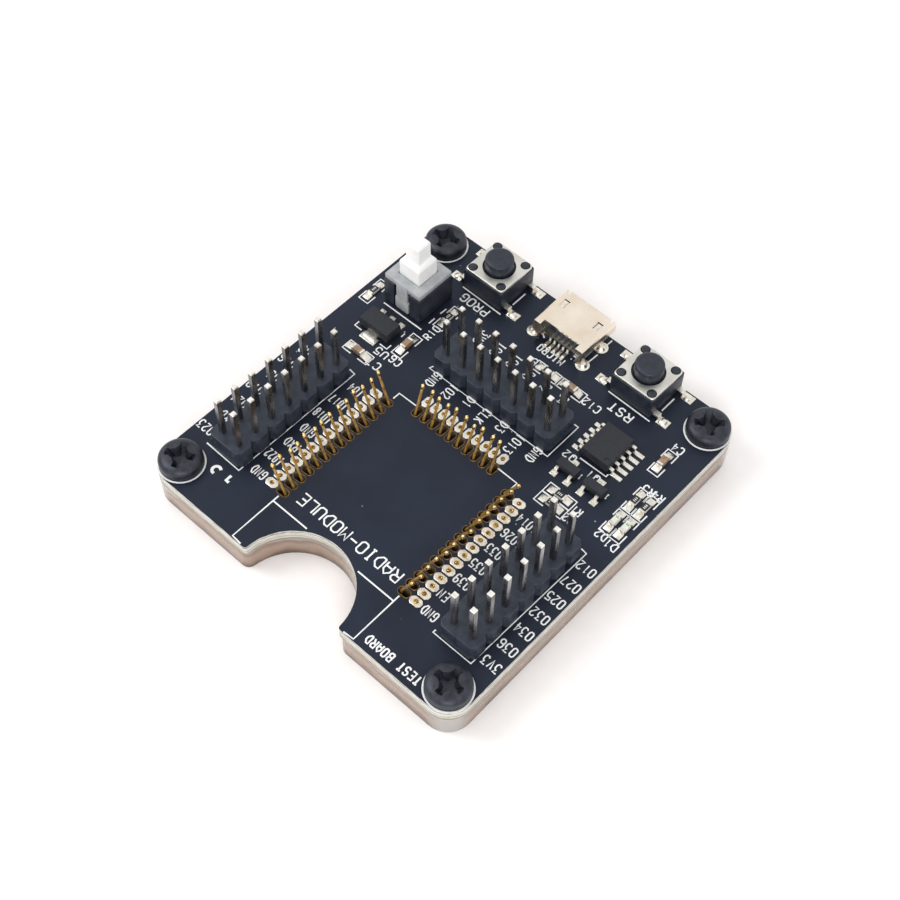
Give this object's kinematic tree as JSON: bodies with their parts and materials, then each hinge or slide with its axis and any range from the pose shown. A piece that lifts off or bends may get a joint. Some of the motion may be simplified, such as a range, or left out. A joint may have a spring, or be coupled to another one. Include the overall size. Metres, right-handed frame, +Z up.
{
  "type": "module test board",
  "caption": "Small test board that holds a radio module between rows of spring contacts, with pin headers, buttons and a USB socket.",
  "frame": {"origin": "centre of the board's outline, on the underside of the base plate", "axes": "+Z up out of the board; -Y towards the edge with the finger notch, +Y towards the edge with the USB socket; +X to the right seen from above with the notch near"},
  "size_m": [0.0458, 0.0494, 0.015],
  "materials": {
    "board_mask": "satin navy-black solder mask",
    "clear_acrylic": "clear sheet with a brownish backing",
    "black_oxide_steel": "satin black",
    "header_black": "matte black with bright plated pins",
    "gold_wire": "gold plated",
    "switch_black": "matte black",
    "cover_steel": "satin stamped steel",
    "cap_grey": "matte grey",
    "key_white": "white, slightly glossy",
    "socket_shell": "warm bright plating",
    "package_black": "matte black moulding",
    "ceramic_tan": "tan ceramic with tinned ends",
    "ceramic_white": "white ceramic with tinned ends"
  },
  "bodies": {
    "board": {"circuit_board": "board_mask", "base_plate": "clear_acrylic", "screw_front_left": "black_oxide_steel", "screw_front_right": "black_oxide_steel", "screw_rear_left": "black_oxide_steel", "screw_rear_right": "black_oxide_steel", "header_left": "header_black", "header_right": "header_black", "header_rear": "header_black", "prog_switch_body": "switch_black", "prog_switch_cover": "cover_steel", "prog_switch_dome": "cover_steel", "reset_switch_body": "switch_black", "reset_switch_cover": "cover_steel", "reset_switch_dome": "cover_steel", "power_switch_body": "switch_black", "power_switch_cap": "cap_grey", "power_switch_spring": "cover_steel", "usb_shell": "socket_shell", "usb_insert": "switch_black", "serial_chip": "package_black", "transistor_1": "package_black", "transistor_2": "package_black", "voltage_regulator": "package_black", "resistor_1": "ceramic_white", "resistor_2": "ceramic_white", "resistor_3": "ceramic_white", "resistor_4": "ceramic_white", "resistor_9": "ceramic_white", "resistor_10": "ceramic_white", "resistor_11": "ceramic_white", "capacitor_4": "ceramic_tan", "capacitor_6": "ceramic_tan", "capacitor_7": "ceramic_tan", "capacitor_12": "ceramic_tan", "led_1": "ceramic_white", "led_2": "ceramic_white"},
    "contacts_left": {"contact_row_left": "gold_wire"},
    "contacts_rear": {"contact_row_rear": "gold_wire"},
    "contacts_right": {"contact_row_right": "gold_wire"},
    "prog_button": {"prog_button": "switch_black"},
    "reset_button": {"reset_button": "switch_black"},
    "power_button": {"power_button": "key_white"}
  },
  "joints": [
    {"name": "prog_press", "type": "slide", "parent": "board", "child": "prog_button", "axis": [0, 0, -1], "range_m": [0, 0.00025], "stiffness_N_per_m": 1500, "springref_m": -0.0004, "deforming": ["prog_switch_dome"]},
    {"name": "reset_press", "type": "slide", "parent": "board", "child": "reset_button", "axis": [0, 0, -1], "range_m": [0, 0.00025], "stiffness_N_per_m": 1500, "springref_m": -0.0004, "deforming": ["reset_switch_dome"]},
    {"name": "power_press", "type": "slide", "parent": "board", "child": "power_button", "axis": [0, 0, -1], "range_m": [0, 0.0015], "stiffness_N_per_m": 800, "springref_m": -0.001, "deforming": ["power_switch_spring"]},
    {"name": "left_contacts_flex", "type": "hinge", "parent": "board", "child": "contacts_left", "pos_m": [-0.00877, -0.00845, 0.004], "axis": [0, -1, 0], "range_deg": [0, 7], "stiffness_Nm_per_rad": 0.02, "springref_deg": -2.86},
    {"name": "rear_contacts_flex", "type": "hinge", "parent": "board", "child": "contacts_rear", "pos_m": [0, 0.00085, 0.004], "axis": [-1, 0, 0], "range_deg": [0, 7], "stiffness_Nm_per_rad": 0.015, "springref_deg": -2.86},
    {"name": "right_contacts_flex", "type": "hinge", "parent": "board", "child": "contacts_right", "pos_m": [0.00877, -0.00845, 0.004], "axis": [0, 1, 0], "range_deg": [0, 7], "stiffness_Nm_per_rad": 0.02, "springref_deg": -2.86}
  ]
}
